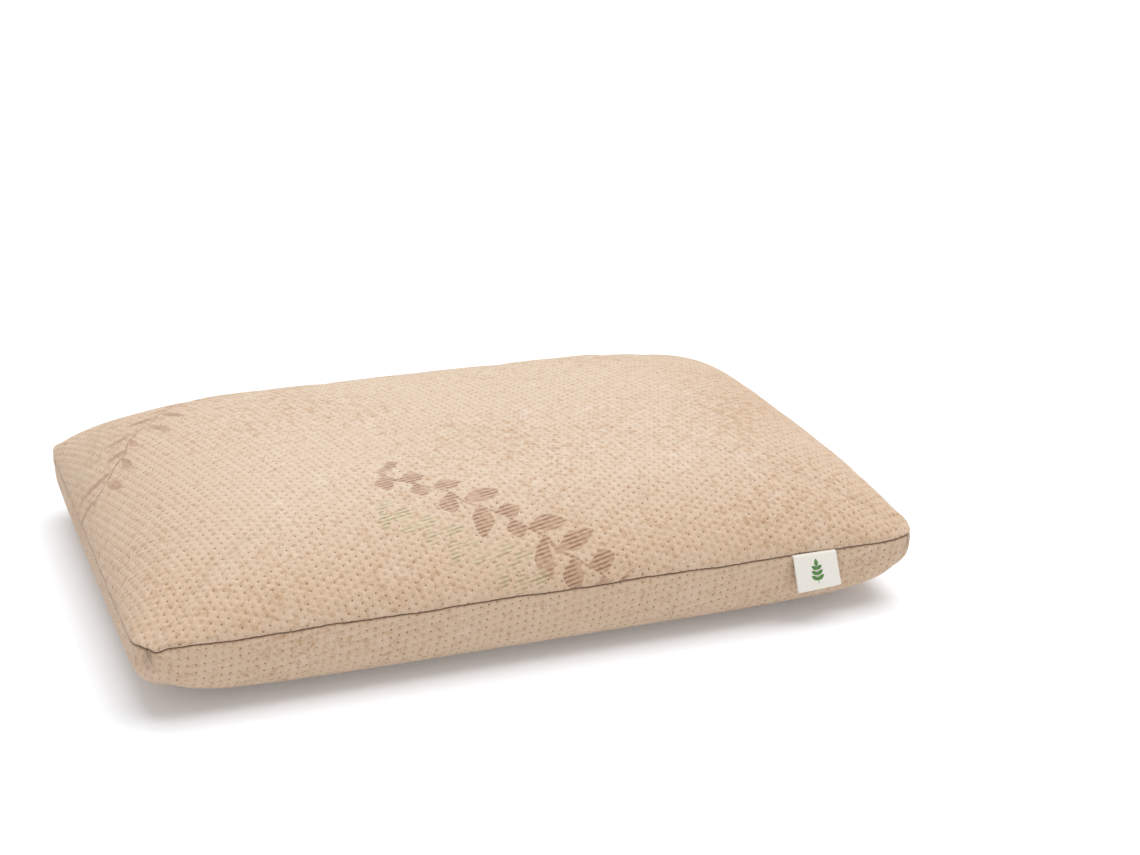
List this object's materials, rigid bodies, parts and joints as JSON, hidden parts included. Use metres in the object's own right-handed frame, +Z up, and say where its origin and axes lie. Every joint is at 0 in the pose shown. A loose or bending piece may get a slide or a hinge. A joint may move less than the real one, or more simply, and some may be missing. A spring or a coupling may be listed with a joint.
{
  "type": "bed pillow",
  "caption": "Rectangular foam bed pillow with a domed top, in a zipped two-panel knitted cover with a ribbon tag on the front seam.",
  "frame": {"origin": "bottom centre of the pillow, on the surface it rests on", "axes": "+X along the long side, towards the tag; -Y towards the front, where the tag hangs; +Z up through the crown"},
  "size_m": [0.6036, 0.4121, 0.12],
  "materials": {
    "foam": "open-cell memory foam, matt, soft to the touch",
    "liner_jersey": "thin white jersey knit",
    "liner_thread": "white sewing thread",
    "cover_knit": "beige heather jacquard knit with small brown pin dots and pale hatched leaf motifs",
    "seam_thread": "dark brown sewing thread",
    "zip_tape": "woven beige polyester tape",
    "zip_coil": "beige nylon coil",
    "zip_metal": "beige painted die-cast zinc",
    "zip_thread": "light brown sewing thread",
    "tag_ribbon": "cream grosgrain ribbon",
    "tag_sprig": "green woven sprig",
    "care_satin": "white satin ribbon, blank"
  },
  "bodies": {
    "pillow": {"foam_core": "foam", "liner_top_panel": "liner_jersey", "liner_bottom_panel": "liner_jersey", "liner_seam_thread": "liner_thread", "cover_top_panel": "cover_knit", "cover_bottom_panel": "cover_knit", "cover_seam_thread": "seam_thread", "cover_overlock_thread": "seam_thread", "zipper_tape_upper": "zip_tape", "zipper_tape_lower": "zip_tape", "zipper_coil_upper": "zip_coil", "zipper_coil_lower": "zip_coil", "zipper_top_stops": "zip_metal", "zipper_bottom_stop": "zip_metal", "zipper_stitch_upper": "zip_thread", "zipper_stitch_lower": "zip_thread", "zipper_end_tacks": "zip_thread"},
    "zip_slider": {"zipper_slider": "zip_metal"},
    "pull_tab": {"zipper_pull_tab": "zip_metal"},
    "front_tag": {"side_label": "tag_ribbon", "side_label_sprig": "tag_sprig"},
    "care_tag": {"care_label": "care_satin"}
  },
  "joints": [
    {"name": "zip_slide", "type": "slide", "parent": "pillow", "child": "zip_slider", "axis": [-1, 0, 0], "range_m": [0, 0.42]},
    {"name": "pull_tab_swing", "type": "hinge", "parent": "zip_slider", "child": "pull_tab", "pos_m": [0.209, 0.2014, 0.057], "axis": [0, 0, -1], "range_deg": [0, 175]},
    {"name": "front_tag_flap", "type": "hinge", "parent": "pillow", "child": "front_tag", "pos_m": [0.207, -0.2008, 0.057], "axis": [-1, 0, 0], "range_deg": [0, 115]},
    {"name": "care_tag_flap", "type": "hinge", "parent": "pillow", "child": "care_tag", "pos_m": [0.30065, 0.11, 0.057], "axis": [0, -1, 0], "range_deg": [0, 115]}
  ]
}
